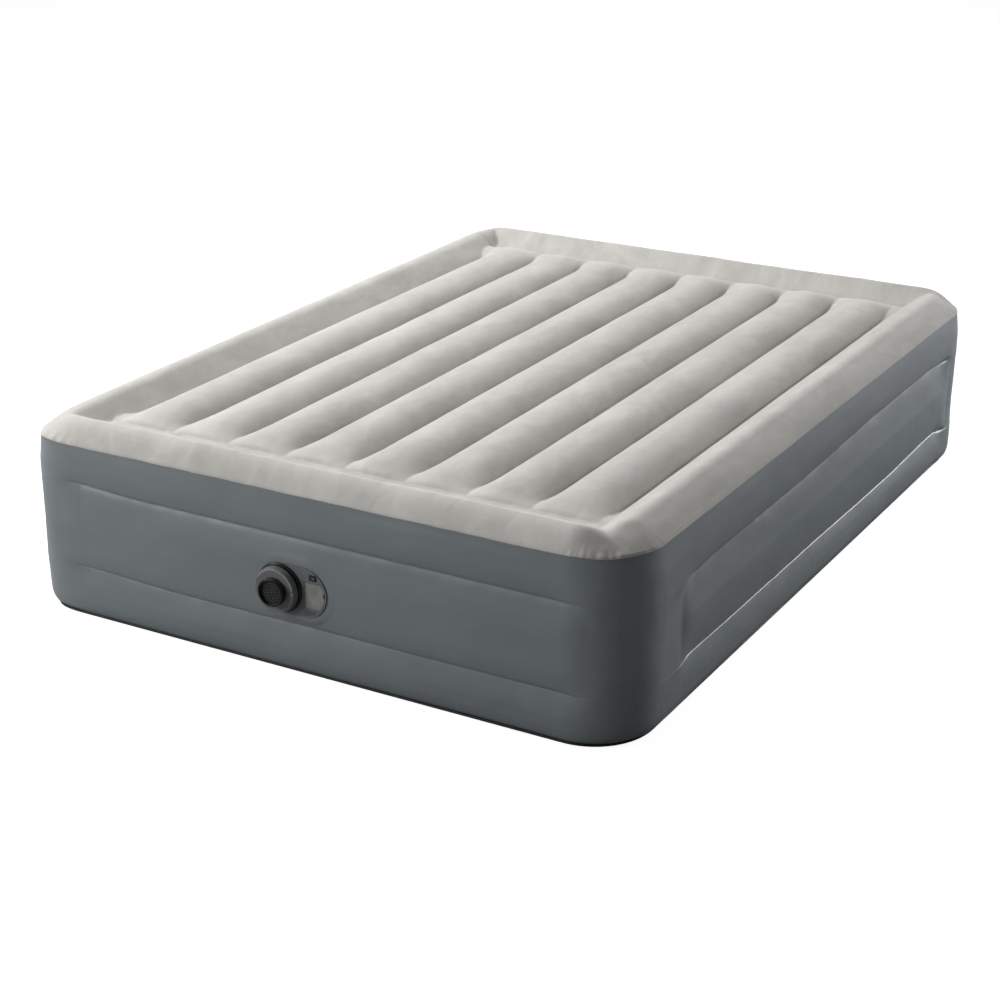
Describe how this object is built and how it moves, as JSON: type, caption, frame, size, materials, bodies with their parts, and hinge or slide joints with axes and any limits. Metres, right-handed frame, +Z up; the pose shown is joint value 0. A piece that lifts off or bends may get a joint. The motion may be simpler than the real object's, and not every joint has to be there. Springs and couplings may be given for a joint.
{
  "type": "air mattress",
  "caption": "Raised rectangular air bed with a bordered, beam-topped sleeping surface and a built-in electric pump: turning dial valve, rocker switch and hinged cord bay in one end wall.",
  "frame": {"origin": "centre of the footprint, on the floor, at the underside of the bottom sheet", "axes": "+Z up; +Y towards the end without the pump, so the pump faces -Y; +X to the right of a person facing the pump"},
  "size_m": [1.52, 2.072, 0.46],
  "materials": {
    "flocked_top": "matte",
    "wall_vinyl": "satin",
    "base_vinyl": "satin",
    "fibre_web": "matte",
    "tie_vinyl": "satin",
    "tub_plastic": "satin",
    "face_plastic": "satin",
    "plate_film": "satin",
    "black_plastic": "satin",
    "rocker_plastic": "satin",
    "white_print": "satin",
    "inner_plastic": "satin",
    "black_rubber": "matte",
    "steel": "satin",
    "bronze": "satin",
    "wire_insulation": "satin"
  },
  "bodies": {
    "bed": {"top_sheet": "flocked_top", "side_wall": "wall_vinyl", "pump_panel": "wall_vinyl", "bottom_sheet": "base_vinyl", "fibre_panel_1": "fibre_web", "fibre_panel_2": "fibre_web", "fibre_panel_3": "fibre_web", "fibre_panel_4": "fibre_web", "fibre_panel_5": "fibre_web", "fibre_panel_6": "fibre_web", "fibre_panel_7": "fibre_web", "fibre_panel_8": "fibre_web", "fibre_panel_9": "fibre_web", "tie_band_pump_end_lower": "tie_vinyl", "tie_band_pump_end_upper": "tie_vinyl", "tie_band_right_lower": "tie_vinyl", "tie_band_right_upper": "tie_vinyl", "tie_band_far_end_lower": "tie_vinyl", "tie_band_far_end_upper": "tie_vinyl", "tie_band_left_lower": "tie_vinyl", "tie_band_left_upper": "tie_vinyl", "pump_tub": "tub_plastic", "faceplate": "face_plastic", "cord_bay": "tub_plastic", "cord_gland": "black_rubber", "lid_pin": "steel", "switch_body": "black_plastic", "switch_axle": "steel", "dial_bezel": "black_plastic", "index_mark": "white_print", "valve_sleeve": "inner_plastic", "blower_cover": "inner_plastic", "volute": "inner_plastic", "blower_screws": "steel", "motor_can": "steel", "motor_magnets": "steel", "motor_end_cap": "black_plastic", "motor_bushes": "bronze", "motor_screws": "steel", "motor_cushion": "black_rubber", "outlet_grille": "tub_plastic", "motor_leads": "wire_insulation", "supply_leads": "wire_insulation"},
    "dial_and_valve": {"dial": "black_plastic", "dial_grip": "face_plastic", "dial_marks": "white_print", "intake_grille": "black_plastic", "valve_barrel": "inner_plastic", "barrel_o_rings": "black_rubber", "dial_screws": "steel"},
    "lid": {"bay_lid": "face_plastic", "lid_plate": "plate_film"},
    "rocker": {"switch_rocker": "rocker_plastic"},
    "rotor": {"impeller": "inner_plastic", "motor_shaft": "steel", "motor_rotor": "steel"}
  },
  "joints": [
    {"name": "dial_turn", "type": "hinge", "parent": "bed", "child": "dial_and_valve", "pos_m": [-0.06, -1.015, 0.2], "axis": [0, -1, 0], "range_deg": [-60, 60]},
    {"name": "lid_hinge", "type": "hinge", "parent": "bed", "child": "lid", "pos_m": [0, -1.0174, 0.196], "axis": [0, 0, 1], "range_deg": [-95, 0]},
    {"name": "rocker_tilt", "type": "hinge", "parent": "bed", "child": "rocker", "pos_m": [0.024, -1.015, 0.238], "axis": [0, 0, 1], "range_deg": [-18, 0]},
    {"name": "rotor_spin", "type": "hinge", "parent": "bed", "child": "rotor", "pos_m": [-0.06, -0.935, 0.2], "axis": [0, -1, 0], "continuous": true}
  ]
}
